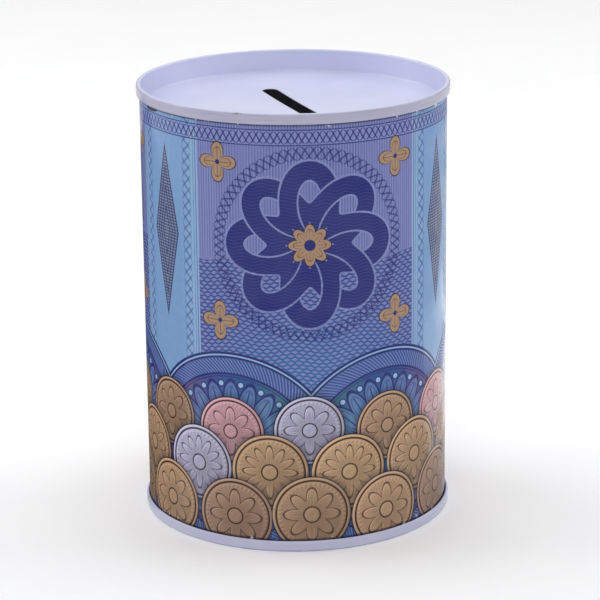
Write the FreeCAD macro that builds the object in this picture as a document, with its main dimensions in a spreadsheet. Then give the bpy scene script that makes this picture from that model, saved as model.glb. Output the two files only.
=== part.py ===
"""Tin money box: a round tinplate can with a coin slot in its lid, closed by two double seams.

Millimetres, +Z up. The origin is the middle of the circle that the can stands on, and the slot
runs along Y. Three sheets make the can: a rolled and welded body, a lid and a base. Each is drawn
as one face of its sheet, thickened by its gauge and turned about Z.
"""
import FreeCAD, Part
import math
import operator
import os

import Sketcher

Vector = FreeCAD.Vector
UP = Vector(0, 0, 1)
SQUARE = math.pi / 2

# A sketch's own numbers for the points of an edge and for its axes
START, END, CENTRE = range(1, 4)
HORIZONTAL_AXIS, VERTICAL_AXIS = range(-1, -3, -1)
ORIGIN = (HORIZONTAL_AXIS, START)

# Driving dimensions
SIZES = [
    ("overall_height", 120.0, "over both seams"),
    ("seam_diameter", 85.0, "over the seams, the widest place"),
    ("body_gauge", 0.23, "sheet of the body"),
    ("end_gauge", 0.25, "sheet of the lid and the base"),
    ("seam_depth", 2.9, "height of a double seam"),
    ("seam_gap", 0.03, "between the pressed layers of a seam"),
    ("hook_end_gap", 0.35, "from the end of a hook to the bend that it points into"),
    ("land_outer_bend", 0.5, "outside radius where a seam turns down outside"),
    ("land_inner_bend", 0.4, "outside radius where a seam turns down into its recess"),
    ("recess_taper", 4.0, "degrees by which a recess narrows towards its panel"),
    ("lid_recess", 6.0, "from the top of the can down to the edge of the lid's panel"),
    ("lid_sink", 0.9, "by which the lid's panel sinks from its edge to its middle"),
    ("lid_panel_bend", 1.2, "inside radius between the lid's panel and its wall"),
    ("slot_length", 41.0, "of the coin slot, over its round ends"),
    ("slot_width", 4.4, "of the coin slot"),
    ("base_recess", 4.6, "from the standing edge up to the base's outer ring"),
    ("base_panel_bend", 1.2, "inside radius between that ring and its wall"),
    ("base_step_diameter", 60.0, "where the base steps out to its middle panel"),
    ("base_step_height", 0.7, "from the outer ring to the middle panel"),
    ("base_step_bend", 0.8, "radius of both bends of that step"),
    ("weld_lap", 0.8, "width of the welded lap that closes the body"),
    ("weld_rise", 0.06, "by which the lap stands out from the wall, inside and outside"),
    ("weld_end_gap", 0.2, "from a seam to the end of the lap's rise"),
]

document = FreeCAD.newDocument("tin_money_box")


class Size:
    """A number with its formula, so that one line sets both a drawing and what it is bound to."""

    def __init__(self, value, formula):
        self.value = value
        self.formula = formula


def as_size(number):
    """A bare count or factor as a Size."""
    if isinstance(number, Size):
        return number
    return Size(number, str(number))


def joined(sign, apply):
    """The method that joins two sizes by one sign of arithmetic."""
    def method(first, second):
        first, second = as_size(first), as_size(second)
        formula = f"({first.formula} {sign} {second.formula})"
        return Size(apply(first.value, second.value), formula)
    return method


Size.__add__ = joined("+", operator.add)
Size.__sub__ = joined("-", operator.sub)
Size.__mul__ = joined("*", operator.mul)
Size.__truediv__ = joined("/", operator.truediv)
Size.__neg__ = lambda self: self * -1


def write_sheet():
    """Put the driving dimensions in the document's sheet and return them by name."""
    sheet = document.addObject("Spreadsheet::Sheet", "sizes")
    named = {}
    for row, (name, value, meaning) in enumerate(SIZES, start=1):
        sheet.set(f"A{row}", name)
        sheet.set(f"B{row}", str(value))
        sheet.set(f"C{row}", meaning)
        sheet.setAlias(f"B{row}", name)
        named[name] = Size(value, f"sizes.{name}")
    document.recompute()
    return named


size = write_sheet()

# Layers of a double seam, from its outer face inwards: wall of the end, hook of the body,
# hook of the end, wall of the body, wall of the recess
seam_radius = size["seam_diameter"] / 2
body_hook_radius = seam_radius - size["end_gauge"] - size["seam_gap"]
end_hook_radius = body_hook_radius - size["body_gauge"] - size["seam_gap"]
body_radius = end_hook_radius - size["end_gauge"] - size["seam_gap"]
body_inside = body_radius - size["body_gauge"]
recess_radius = body_inside - size["seam_gap"] - size["end_gauge"]

# Half-round bends of a seam, each just wide enough for the layers that it wraps
body_bend = (body_hook_radius - body_inside) / 2
end_bend = (seam_radius - end_hook_radius + size["end_gauge"]) / 2

# Depths in a seam, from its outer edge
body_edge = size["end_gauge"] + size["seam_gap"]
body_hook_end = size["seam_depth"] - size["end_gauge"] - size["hook_end_gap"]
end_hook_end = body_edge + size["body_gauge"] + size["hook_end_gap"]


class Profile:
    """A sketch in the plane of X and Z whose lines and arcs run on smoothly from one another."""

    def __init__(self, name):
        self.sketch = document.addObject("Sketcher::SketchObject", name)
        self.sketch.Placement = FreeCAD.Placement(Vector(), FreeCAD.Rotation(Vector(1, 0, 0), 90))
        self.last = None

    def run_on(self, edge, entry, leave):
        """Join an edge smoothly to the one before it."""
        if self.last is not None:
            self.constrain("Tangent", *self.last, edge, entry)
        self.last = (edge, leave)
        return edge

    def line(self, start, end):
        edge = self.sketch.addGeometry(Part.LineSegment(Vector(*start), Vector(*end)))
        return self.run_on(edge, START, END)

    def arc(self, centre, radius, first, last):
        """An arc from the angle first to the angle last, turning either way."""
        circle = Part.Circle(Vector(*centre), UP, radius)
        edge = self.sketch.addGeometry(Part.ArcOfCircle(circle, min(first, last), max(first, last)))
        if last > first:
            return self.run_on(edge, START, END)
        return self.run_on(edge, END, START)

    def bend(self, centre, radius, first, last):
        """An arc whose radius is a size."""
        edge = self.arc(centre, radius.value, first, last)
        self.bind("Radius", edge, to=radius)
        return edge

    def constrain(self, kind, *where):
        self.sketch.addConstraint(Sketcher.Constraint(kind, *where))

    def bind(self, kind, *where, to):
        """A dimension that follows its formula in the sheet."""
        number = self.sketch.addConstraint(Sketcher.Constraint(kind, *where, to.value))
        self.sketch.setExpression(f"Constraints[{number}]", to.formula)

    def across(self, edge, point, to):
        self.bind("DistanceX", *ORIGIN, edge, point, to=to)

    def height(self, edge, point, to):
        self.bind("DistanceY", *ORIGIN, edge, point, to=to)


def turned_sheet(name, profile, gauge):
    """The sheet that has the profile as one face, turned about Z into a round piece."""
    section = document.addObject("Part::Offset2D", f"{name}_section")
    section.Source = profile.sketch
    section.Mode = "Skin"
    section.Fill = True
    section.setExpression("Value", (-gauge).formula)
    return turned(name, section)


def turned(name, section):
    """A section turned about Z."""
    piece = document.addObject("Part::Revolution", name)
    piece.Source = section
    piece.Axis = UP
    piece.Angle = 360
    piece.Solid = True
    return piece


# Lid and base
def draw_sunk_panel(profile, recess, panel_bend, corner, finish):
    """A shallow dish from the axis out to the bend at the foot of the recess."""
    sink = size["lid_sink"]
    turn = 2 * math.atan(sink.value / corner[0])
    centre = (0, corner[1] + corner[0] / math.tan(turn))
    radius = corner[0] / math.sin(turn) + panel_bend.value
    panel = profile.arc(centre, radius, -SQUARE, turn - SQUARE)
    foot = profile.bend(corner, panel_bend, turn - SQUARE, finish)
    profile.constrain("PointOnObject", panel, START, VERTICAL_AXIS)
    profile.constrain("PointOnObject", panel, CENTRE, VERTICAL_AXIS)
    profile.height(panel, START, -recess - sink)
    profile.height(foot, CENTRE, panel_bend - recess)


def draw_stepped_panel(profile, recess, panel_bend, corner, finish):
    """A middle panel that a round step lifts out of the recess, and the ring around it."""
    height = -recess
    bend, rise = size["base_step_bend"], size["base_step_height"]
    step_radius = size["base_step_diameter"] / 2
    turn = math.acos(1 - rise.value / (2 * bend.value))
    reach = bend.value * math.sin(turn)
    top = height + rise
    panel_end, ring_start = step_radius.value - reach, step_radius.value + reach
    panel = profile.line((0, top.value), (panel_end, top.value))
    profile.bend((panel_end, (top - bend).value), bend, SQUARE, SQUARE - turn)
    foot = profile.bend((ring_start, (height + bend).value), bend, -SQUARE - turn, -SQUARE)
    ring = profile.line((ring_start, height.value), (corner[0], height.value))
    profile.bend(corner, panel_bend, -SQUARE, finish)
    profile.constrain("Horizontal", panel)
    profile.constrain("Horizontal", ring)
    profile.constrain("PointOnObject", panel, START, VERTICAL_AXIS)
    profile.height(panel, START, top)
    profile.height(ring, START, height)
    profile.across(foot, START, step_radius)


def draw_end(name, recess, panel_bend, draw_panel):
    """The outside face of a can end, from the middle of its panel to the tip of its hook.

    Its heights start at the outer edge of the seam, and the inside of the can is below that.
    """
    taper = math.radians(size["recess_taper"].value)
    inner, outer = size["land_inner_bend"], size["land_outer_bend"]
    wall_top = (recess_radius.value, inner.value * (math.sin(taper) - 1))
    foot_height = panel_bend.value * (1 - math.sin(taper)) - recess.value
    foot_radius = recess_radius.value - (wall_top[1] - foot_height) * math.tan(taper)
    corner = (foot_radius - panel_bend.value * math.cos(taper), (panel_bend - recess).value)
    land_start = recess_radius.value + inner.value * math.cos(taper)
    land_end = (seam_radius - outer).value
    under_height = end_bend - size["seam_depth"]
    hook_radius = seam_radius - end_bend * 2

    profile = Profile(f"{name}_face")
    draw_panel(profile, recess, panel_bend, corner, -taper)
    wall = profile.line((foot_radius, foot_height), wall_top)
    profile.bend((land_start, -inner.value), inner, 2 * SQUARE - taper, SQUARE)
    land = profile.line((land_start, 0), (land_end, 0))
    profile.bend((land_end, -outer.value), outer, SQUARE, 0)
    seam = profile.line((seam_radius.value, -outer.value), (seam_radius.value, under_height.value))
    under_centre = ((seam_radius - end_bend).value, under_height.value)
    under = profile.bend(under_centre, end_bend, 4 * SQUARE, 2 * SQUARE)
    hook = profile.line((hook_radius.value, under_height.value),
                        (hook_radius.value, -end_hook_end.value))

    wall_slope = Size(SQUARE - taper, f"90 deg - {size['recess_taper'].formula} * 1 deg")
    profile.bind("Angle", wall, to=wall_slope)
    profile.across(wall, END, recess_radius)
    profile.constrain("Horizontal", land)
    profile.constrain("PointOnObject", land, START, HORIZONTAL_AXIS)
    profile.constrain("Vertical", seam)
    profile.across(seam, START, seam_radius)
    profile.height(under, CENTRE, under_height)
    profile.constrain("Vertical", hook)
    profile.height(hook, END, -end_hook_end)
    return profile


def make_slot_cutter():
    """A block with round ends, standing through the lid's panel where the slot is punched."""
    round_radius = size["slot_width"] / 2
    half_straight = (size["slot_length"] - size["slot_width"]) / 2
    depth = size["lid_sink"] + size["end_gauge"] * 3

    bar = document.addObject("Part::Box", "slot_bar")
    bar.setExpression("Length", size["slot_width"].formula)
    bar.setExpression("Width", (half_straight * 2).formula)
    bar.setExpression("Height", depth.formula)
    bar.setExpression("Placement.Base.x", (-round_radius).formula)
    bar.setExpression("Placement.Base.y", (-half_straight).formula)
    pieces = [bar]
    for name, place in (("slot_near_end", -half_straight), ("slot_far_end", half_straight)):
        end = document.addObject("Part::Cylinder", name)
        end.setExpression("Radius", round_radius.formula)
        end.setExpression("Height", depth.formula)
        end.setExpression("Placement.Base.y", place.formula)
        pieces.append(end)

    cutter = document.addObject("Part::MultiFuse", "slot_cutter")
    cutter.Shapes = pieces
    panel_underside = -size["lid_recess"] - size["lid_sink"] - size["end_gauge"]
    cutter.setExpression("Placement.Base.z", (panel_underside - size["end_gauge"]).formula)
    return cutter


def make_lid():
    profile = draw_end("lid", size["lid_recess"], size["lid_panel_bend"], draw_sunk_panel)
    lid = document.addObject("Part::Cut", "lid")
    lid.Base = turned_sheet("lid_blank", profile, size["end_gauge"])
    lid.Tool = make_slot_cutter()
    lid.setExpression("Placement.Base.z", size["overall_height"].formula)
    return lid


def make_base():
    """The same kind of end, upside down, with a stepped panel."""
    profile = draw_end("base", size["base_recess"], size["base_panel_bend"], draw_stepped_panel)
    base = turned_sheet("base", profile, size["end_gauge"])
    base.Placement = FreeCAD.Placement(Vector(), FreeCAD.Rotation(Vector(1, 0, 0), 180))
    return base


# Body
def draw_body():
    """The inside face of the body, with a hook turned out and back over it at both ends."""
    height = size["overall_height"]
    lower, upper = body_edge + body_bend, height - body_edge - body_bend
    middle = (body_inside + body_bend).value
    hook, inside = body_hook_radius.value, body_inside.value

    profile = Profile("body_face")
    lower_hook = profile.line((hook, body_hook_end.value), (hook, lower.value))
    lower_bend = profile.bend((middle, lower.value), body_bend, 4 * SQUARE, 2 * SQUARE)
    wall = profile.line((inside, lower.value), (inside, upper.value))
    upper_bend = profile.bend((middle, upper.value), body_bend, 2 * SQUARE, 0)
    upper_hook = profile.line((hook, upper.value), (hook, (height - body_hook_end).value))

    for upright in (lower_hook, wall, upper_hook):
        profile.constrain("Vertical", upright)
    profile.height(lower_hook, START, body_hook_end)
    profile.height(lower_bend, CENTRE, lower)
    profile.across(wall, START, body_inside)
    profile.height(upper_bend, CENTRE, upper)
    profile.height(upper_hook, END, height - body_hook_end)
    return profile


def make_weld():
    """The lap where the body's sheet meets itself, squeezed to a low ridge by its weld."""
    clear = size["seam_depth"] + size["weld_end_gap"]
    ridge_inside = body_inside - size["weld_rise"]
    ridge_wall = body_radius + size["weld_rise"] - ridge_inside

    section = document.addObject("Part::Plane", "weld_section")
    section.setExpression("Length", ridge_wall.formula)
    section.setExpression("Width", (size["overall_height"] - clear * 2).formula)
    section.Placement = FreeCAD.Placement(Vector(), FreeCAD.Rotation(Vector(1, 0, 0), 90))
    section.setExpression("Placement.Base.x", ridge_inside.formula)
    section.setExpression("Placement.Base.z", clear.formula)

    weld = turned("weld", section)
    weld.Symmetric = True
    weld.setExpression("Angle", f"{(size['weld_lap'] / body_radius).formula} * 180 deg / pi")
    weld.Placement = FreeCAD.Placement(Vector(), FreeCAD.Rotation(UP, 90))
    return weld


def make_body():
    body = document.addObject("Part::Fuse", "body")
    body.Base = turned_sheet("body_tube", draw_body(), size["body_gauge"])
    body.Tool = make_weld()
    return body


def check(pieces):
    """Stop if anything in the document failed, or a piece isn't one sound solid."""
    for item in document.Objects:
        if "Invalid" in item.State or "Error" in item.State:
            raise RuntimeError(f"{item.Label} failed: {item.State}")
    for piece in pieces:
        shape = piece.Shape
        if shape.isNull() or not shape.isValid() or len(shape.Solids) != 1:
            raise RuntimeError(f"{piece.Label} is not one sound solid")


pieces = [make_body(), make_lid(), make_base()]
document.recompute()
check(pieces)
os.makedirs("parts", exist_ok=True)
for piece in pieces:
    piece.Shape.exportStep(f"parts/{piece.Label}.step")
    print(f"{piece.Label}: {piece.Shape.Volume:.1f} cubic mm of sheet")
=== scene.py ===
# %% [markdown]
# # A printed tin money box
#
# The object is a sealed tin can with a coin slot in its lid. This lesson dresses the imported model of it:
# first comes the camera, then the sections of the sheets, then the print, the varnish and the lacquer as
# node maths. After that Geometry Nodes roll the pieces, and last come the floor and the light. All lengths
# are metres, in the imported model's own frame: +Z up, the origin in the middle of the circle that the tin
# stands on. Only the print is laid out in millimetres.

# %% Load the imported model
import math

import bmesh
import bpy
from mathutils import Matrix, Vector


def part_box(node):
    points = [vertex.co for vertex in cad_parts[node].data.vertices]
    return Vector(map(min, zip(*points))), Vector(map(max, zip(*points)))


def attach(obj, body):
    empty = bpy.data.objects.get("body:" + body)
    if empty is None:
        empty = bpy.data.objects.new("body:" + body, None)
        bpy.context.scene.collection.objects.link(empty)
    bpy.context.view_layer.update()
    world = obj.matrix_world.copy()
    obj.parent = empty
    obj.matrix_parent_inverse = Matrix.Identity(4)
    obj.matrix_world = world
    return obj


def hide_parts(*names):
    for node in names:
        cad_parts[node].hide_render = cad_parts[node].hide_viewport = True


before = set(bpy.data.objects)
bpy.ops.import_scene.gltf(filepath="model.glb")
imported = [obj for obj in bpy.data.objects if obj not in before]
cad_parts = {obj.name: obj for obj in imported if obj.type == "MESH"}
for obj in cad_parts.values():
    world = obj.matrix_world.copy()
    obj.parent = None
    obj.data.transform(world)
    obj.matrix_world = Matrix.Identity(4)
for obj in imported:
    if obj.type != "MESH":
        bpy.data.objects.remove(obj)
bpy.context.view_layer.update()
scene = bpy.context.scene
MM = 0.001
print("nodes:", sorted(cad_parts))

# %% [markdown]
# ## Sizes
#
# Every sheet is thinner than a postcard, and the seams are made of five of these layers. The outer sizes
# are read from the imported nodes. The layers of the seam follow from the two gauges and the small gap
# between them, in the order in which they lie: wall of the end, hook of the body, hook of the end, wall of
# the body, wall of the recess.

# %% Sizes
BODY_GAUGE = 0.23 * MM
END_GAUGE = 0.25 * MM
SEAM_DEPTH = 2.9 * MM
HOOK_END_GAP = 0.35 * MM
SLOT_LENGTH = 41 * MM
SLOT_WIDTH = 4.4 * MM
body_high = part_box("body")[1]
lid_low, lid_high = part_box("lid")
base_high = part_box("base")[1]

seam_radius = lid_high.x
tin_height = lid_high.z
seam_gap = seam_radius - body_high.x - END_GAUGE
body_hook = body_high.x
end_hook = body_hook - BODY_GAUGE - seam_gap
body_radius = end_hook - END_GAUGE - seam_gap
body_inside = body_radius - BODY_GAUGE
recess_radius = body_inside - seam_gap - END_GAUGE
print(f"wall radius {body_radius / MM:.2f} mm, seam gap {seam_gap / MM:.3f} mm")

# %% [markdown]
# ## Camera
#
# A tin photographed for a catalogue is seen from a little above with a long lens. The view was found by
# fitting the two seam circles, so the camera is given as what it looks at, how far it stands away, how it
# is turned about the tin and how far it looks down.

# %% Camera
VIEW_TURN = math.radians(-20.2)
VIEW_DOWN = math.radians(16.86)
VIEW_ROLL = math.radians(-0.6)
VIEW_DISTANCE = 718.6 * MM
VIEW_SIDE = 1.28 * MM
VIEW_HEIGHT = 57.69 * MM
SENSOR = 36.0
FOCAL_PIXELS = 2590.0
PHOTO_PIXELS = 600.0


def in_studio(right, away, up):
    """A place in metres as seen by the camera: to its right, away from it, and up."""
    cosine, sine = math.cos(VIEW_TURN), math.sin(VIEW_TURN)
    return Vector((right * cosine - away * sine, right * sine + away * cosine, up))


def add_camera():
    """The camera of the photograph, looking at a point close to the tin's axis."""
    target = in_studio(VIEW_SIDE, 0.0, VIEW_HEIGHT)
    place = in_studio(VIEW_SIDE, -VIEW_DISTANCE * math.cos(VIEW_DOWN),
                      VIEW_HEIGHT + VIEW_DISTANCE * math.sin(VIEW_DOWN))
    data = bpy.data.cameras.new("camera")
    data.sensor_width = SENSOR
    data.lens = SENSOR * FOCAL_PIXELS / PHOTO_PIXELS
    camera = bpy.data.objects.new("camera", data)
    camera.location = place
    look = (target - place).to_track_quat("-Z", "Y").to_matrix()
    camera.rotation_euler = (look @ Matrix.Rotation(VIEW_ROLL, 3, "Z")).to_euler()
    scene.collection.objects.link(camera)
    scene.camera = camera
    return camera


camera = add_camera()
print("camera at", [round(v, 4) for v in camera.location])

# %% [markdown]
# ## Writing node trees as sums
#
# Both the sheets and the finishes are node trees. A `Wire` stands for one socket, and sums of wires add
# the Math nodes that work them out, so a pattern reads like the formula that it is. Any other node comes
# from `Net.add`, which sets the node up first and then its sockets.

# %% Wires
class Wire:
    """One output socket of a node tree, which can be used in arithmetic."""

    def __init__(self, net, socket):
        self.net = net
        self.socket = socket

    def math(self, operation, *others):
        return self.net.math(operation, self, *others)

    def __add__(self, other):
        return self.net.math("ADD", self, other)

    def __sub__(self, other):
        return self.net.math("SUBTRACT", self, other)

    def __mul__(self, other):
        return self.net.math("MULTIPLY", self, other)

    def __truediv__(self, other):
        return self.net.math("DIVIDE", self, other)

    def __radd__(self, other):
        return self.net.math("ADD", other, self)

    def __rsub__(self, other):
        return self.net.math("SUBTRACT", other, self)

    def __rmul__(self, other):
        return self.net.math("MULTIPLY", other, self)

    def __abs__(self):
        return self.math("ABSOLUTE")


print("wires can be added, taken away, multiplied and divided")

# %% Nets
class Net:
    """A node tree that is written from Python."""

    def __init__(self, tree):
        self.tree = tree

    def feed(self, node, sockets):
        """Link wires to a node's sockets, or set the sockets' own values."""
        for name, value in sockets.items():
            if isinstance(value, Wire):
                self.tree.links.new(value.socket, node.inputs[name])
            else:
                node.inputs[name].default_value = value

    def add(self, kind, sockets=None, out=0, **settings):
        """Add a node, set it up, feed its sockets, and return one of its outputs."""
        node = self.tree.nodes.new(kind)
        for name, value in settings.items():
            setattr(node, name, value)
        self.feed(node, sockets or {})
        return Wire(self, node.outputs[out])

    def outputs(self, wire):
        """All outputs of the node that a wire comes from."""
        return [Wire(self, socket) for socket in wire.socket.node.outputs]

    def math(self, operation, *values):
        return self.add("ShaderNodeMath", dict(enumerate(values)), operation=operation)

    def ramp(self, value, low, high):
        """0 at low, 1 at high, straight between them and level beyond. Low may be the larger one."""
        return self.add("ShaderNodeMapRange", {"Value": value, "From Min": low, "From Max": high})

    def distance(self, across, up):
        return (across * across + up * up).math("SQRT")

    def point(self, **axes):
        return self.add("ShaderNodeCombineXYZ", axes)

    def parts(self, vector):
        """The X, Y and Z of a vector."""
        return self.outputs(self.add("ShaderNodeSeparateXYZ", {0: vector}))

    def mix(self, share, first, second):
        """A colour between two others. A Mix node names its sockets alike, so they go by number."""
        return self.add("ShaderNodeMix", {0: share, 6: first, 7: second}, out=2, data_type="RGBA")


print("nets can add nodes, sums, ramps and mixes")

# %% [markdown]
# ## Rolling a sheet
#
# A tin is printed as a flat sheet and then rolled, and its ends are pressed from flat discs and spun into
# the seams. The tree below does the same: it takes a flat grid and wraps it about Z, with each row of the
# grid at one point of a drawn section. The flat place of every corner is kept as a UV map, so the print can
# be laid out on the flat sheet, in millimetres, just as the printer does. A section's points carry a third
# number in Y, the share of the baked picture that lies below them, so that the hidden inside of the tin
# takes little of it.

# %% Start and end a tree
def start_tree(name, kind, inputs, outputs):
    """A new node group with named inputs and outputs: its net, and its inputs as wires."""
    tree = bpy.data.node_groups.new(name, kind)
    for in_out, sockets in (("INPUT", inputs), ("OUTPUT", outputs)):
        for socket, socket_kind in sockets.items():
            tree.interface.new_socket(socket, in_out=in_out, socket_type=f"NodeSocket{socket_kind}")
    net = Net(tree)
    given = tree.nodes.new("NodeGroupInput").outputs
    return net, {socket.name: Wire(net, socket) for socket in given if socket.name}


def end_tree(net, geometry, finish):
    """Make the result of a tree real, coat it, and give it out."""
    whole = net.add("GeometryNodeRealizeInstances", {"Geometry": geometry})
    coated = net.add("GeometryNodeSetMaterial", {"Geometry": whole, "Material": finish})
    net.feed(net.tree.nodes.new("NodeGroupOutput"), {0: coated})
    print(f"{net.tree.name}: {len(net.tree.nodes)} nodes")
    return net.tree


def keep_places(net, sheet, printed, baked):
    """Keep each corner's place on the flat sheet and in the baked picture, as UV maps."""
    for name, value in (("sheet_mm", printed), ("OFBake", baked)):
        sheet = net.add("GeometryNodeStoreNamedAttribute", {"Geometry": sheet, "Name": name, "Value": value},
                        data_type="FLOAT2", domain="CORNER")
    return sheet


print("a tree starts with named inputs and ends with a finish")

# %% Roll a sheet about Z
MERGE_DISTANCE = 0.001 * MM


def rolled_sheet_tree():
    """Geometry nodes that turn a section, given as a line of points, about Z."""
    net, given = start_tree("rolled sheet", "GeometryNodeTree", {
        "Section": "Object", "Section Points": "Int", "Steps Around": "Int", "Edge Angle": "Float",
        "Sheet Start": "Float", "Sheet Width": "Float", "Finish": "Material"}, {"Sheet": "Geometry"})
    rows, steps = given["Section Points"], given["Steps Around"]
    section = net.add("GeometryNodeObjectInfo", {"Object": given["Section"]}, out="Geometry")
    flat = net.add("GeometryNodeMeshGrid", {"Vertices X": steps + 1.0, "Vertices Y": rows})
    index = net.add("GeometryNodeFieldOnDomain", {"Value": net.add("GeometryNodeInputIndex")},
                    data_type="INT", domain="POINT")
    row = index.math("MODULO", rows)
    around = (index / rows).math("FLOOR") / steps
    place = net.add("GeometryNodeSampleIndex", {
        "Geometry": section, "Value": net.add("GeometryNodeInputPosition"), "Index": row},
        data_type="FLOAT_VECTOR")
    radius, share, height = net.parts(place)

    along = given["Sheet Start"] + around * given["Sheet Width"]
    flat = keep_places(net, flat, net.point(X=along, Y=height / MM), net.point(X=around, Y=share))
    angle = given["Edge Angle"] + around * math.tau
    turned = net.point(X=radius * angle.math("COSINE"), Y=radius * angle.math("SINE"), Z=height)
    rolled = net.add("GeometryNodeSetPosition", {"Geometry": flat, "Position": turned})
    closed = net.add("GeometryNodeMergeByDistance", {"Geometry": rolled, "Distance": MERGE_DISTANCE})
    return end_tree(net, closed, given["Finish"])


rolled_sheet = rolled_sheet_tree()

# %% [markdown]
# ## Sections of the three sheets
#
# A section is one face of the sheet, written as its bends: the straight stretches are what is left between
# them. The other face follows at the sheet's gauge. A bend that turns right has the sheet inside it, so its
# other face is tighter, and a bend that turns left is wider there.

# %% Draw a section
BEND_STEPS = 8
BEND_PITCH = 0.8 * MM
STRETCH = 5 * MM
STRETCH_END = 0.3 * MM


def bend_points(centre, radius, first, last):
    """Points of an arc from angle first to angle last."""
    steps = max(BEND_STEPS, math.ceil(abs(last - first) * radius / BEND_PITCH))
    angles = [first + (last - first) * step / steps for step in range(steps + 1)]
    return [Vector((centre[0] + radius * math.cos(a), centre[1] + radius * math.sin(a))) for a in angles]


def with_stretches(points):
    """The same line with more points on its long straight stretches, close to both ends first."""
    full = [points[0]]
    for near, far in zip(points, points[1:]):
        length = (far - near).length
        if length > 3 * STRETCH_END:
            run = length - 2 * STRETCH_END
            parts = max(1, round(run / STRETCH))
            places = [STRETCH_END + run * part / parts for part in range(parts + 1)]
            full += [near.lerp(far, place / length) for place in places]
        full.append(far)
    return full


def sheet_faces(start, bends, end, gauge):
    """Both faces of a sheet that runs from start through its bends to end, with the sheet on its right."""
    def across_sheet(point, heading):
        heading = heading.normalized()
        return point + Vector((heading.y, -heading.x)) * gauge

    face, other = [], []
    for centre, radius, first, last in bends:
        steps = bend_points(centre, radius, first, last)
        face += steps
        inward = (gauge if last < first else -gauge) / radius
        other += [point.lerp(Vector(centre), inward) for point in steps]
    if start:
        face.insert(0, Vector(start))
        other.insert(0, across_sheet(face[0], face[1] - face[0]))
    face.append(Vector(end))
    other.append(across_sheet(face[-1], face[-1] - face[-2]))
    return with_stretches(face), with_stretches(other)


def section_object(name, stretches, is_ring):
    """A line of points for the rolled sheet tree. Each stretch has its own weight in the baked picture."""
    points, shares = [], [0.0]
    for stretch, weight in stretches:
        for point in stretch:
            if points:
                shares.append(shares[-1] + (point - points[-1]).length * weight)
            points.append(point)
    if is_ring:
        points.append(points[0])
        shares.append(shares[-1])
    places = [(point.x, share / shares[-1], point.y) for point, share in zip(points, shares)]
    mesh = bpy.data.meshes.new(name)
    mesh.from_pydata(places, [], [])
    print(f"{name}: {len(places)} points")
    return bpy.data.objects.new(name, mesh)


print("a bend has at least", BEND_STEPS, "steps")

# %% Section of the body
SQUARE = math.pi / 2
OUTSIDE_WEIGHT = 1.0
INSIDE_WEIGHT = 0.04
body_edge = END_GAUGE + seam_gap
body_bend = (body_hook - body_inside) / 2
body_hook_end = SEAM_DEPTH - END_GAUGE - HOOK_END_GAP


def body_section():
    """A tube with a hook turned out and back over it at both ends."""
    middle = body_inside + body_bend
    lower, upper = body_edge + body_bend, tin_height - body_edge - body_bend
    bends = [((middle, lower), body_bend, 4 * SQUARE, 2 * SQUARE),
             ((middle, upper), body_bend, 2 * SQUARE, 0)]
    inside, outside = sheet_faces((body_hook, body_hook_end), bends,
                                  (body_hook, tin_height - body_hook_end), BODY_GAUGE)
    return section_object("body section", [(inside, INSIDE_WEIGHT), (outside[::-1], OUTSIDE_WEIGHT)], True)


sections = {"body": body_section()}

# %% Bends of a can end
RECESS_TAPER = math.radians(4.0)
LAND_INNER_BEND = 0.4 * MM
LAND_OUTER_BEND = 0.5 * MM
BASE_STEP_RADIUS = 30 * MM
BASE_STEP_HEIGHT = 0.7 * MM
BASE_STEP_BEND = 0.8 * MM
end_bend = (seam_radius - end_hook + END_GAUGE) / 2


def end_bends(recess, bend, sink=0.0):
    """The bends of a can end: its sunk panel, its corner, both sides of the land, and under the seam."""
    sine, cosine = math.sin(RECESS_TAPER), math.cos(RECESS_TAPER)
    wall_top = LAND_INNER_BEND * (sine - 1)
    wall_foot = bend * (1 - sine) - recess
    foot_radius = recess_radius - (wall_top - wall_foot) * math.tan(RECESS_TAPER)
    corner = (foot_radius - bend * cosine, bend - recess)
    turn = 2 * math.atan(sink / corner[0])
    panel = []
    if sink:
        middle = (0, corner[1] + corner[0] / math.tan(turn))
        panel = [(middle, corner[0] / math.sin(turn) + bend, -SQUARE, turn - SQUARE)]
    return [*panel,
            (corner, bend, turn - SQUARE, -RECESS_TAPER),
            ((recess_radius + LAND_INNER_BEND * cosine, -LAND_INNER_BEND), LAND_INNER_BEND,
             2 * SQUARE - RECESS_TAPER, SQUARE),
            ((seam_radius - LAND_OUTER_BEND, -LAND_OUTER_BEND), LAND_OUTER_BEND, SQUARE, 0),
            ((seam_radius - end_bend, end_bend - SEAM_DEPTH), end_bend, 4 * SQUARE, 2 * SQUARE)]


def step_bends(recess):
    """The two bends that lift the middle of the base's panel out of its recess."""
    turn = math.acos(1 - BASE_STEP_HEIGHT / (2 * BASE_STEP_BEND))
    reach = BASE_STEP_BEND * math.sin(turn)
    top = BASE_STEP_HEIGHT - recess
    return [((BASE_STEP_RADIUS - reach, top - BASE_STEP_BEND), BASE_STEP_BEND, SQUARE, SQUARE - turn),
            ((BASE_STEP_RADIUS + reach, BASE_STEP_BEND - recess), BASE_STEP_BEND, -SQUARE - turn, -SQUARE)]


print(f"bend under the seam {end_bend / MM:.3f} mm")

# %% Sections of the lid and the base
LID_BEND = 0.5 * MM
LID_SINK = 0.9 * MM
BASE_BEND = 1.2 * MM
lid_recess = tin_height - lid_low.z - END_GAUGE - LID_SINK
base_recess = base_high.z - END_GAUGE
end_hook_end = body_edge + BODY_GAUGE + HOOK_END_GAP


def end_section(name, start, bends, place):
    """A can end from the middle of its panel to the tip of its hook and back inside."""
    hook = (seam_radius - 2 * end_bend, -end_hook_end)
    outside, inside = sheet_faces(start, bends, hook, END_GAUGE)
    faces = [[place(point) for point in face] for face in (outside, inside[::-1])]
    return section_object(name, [(face, OUTSIDE_WEIGHT) for face in faces], False)


def on_top(point):
    return Vector((point.x, tin_height + point.y))


def turned_over(point):
    return Vector((point.x, -point.y))


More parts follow.
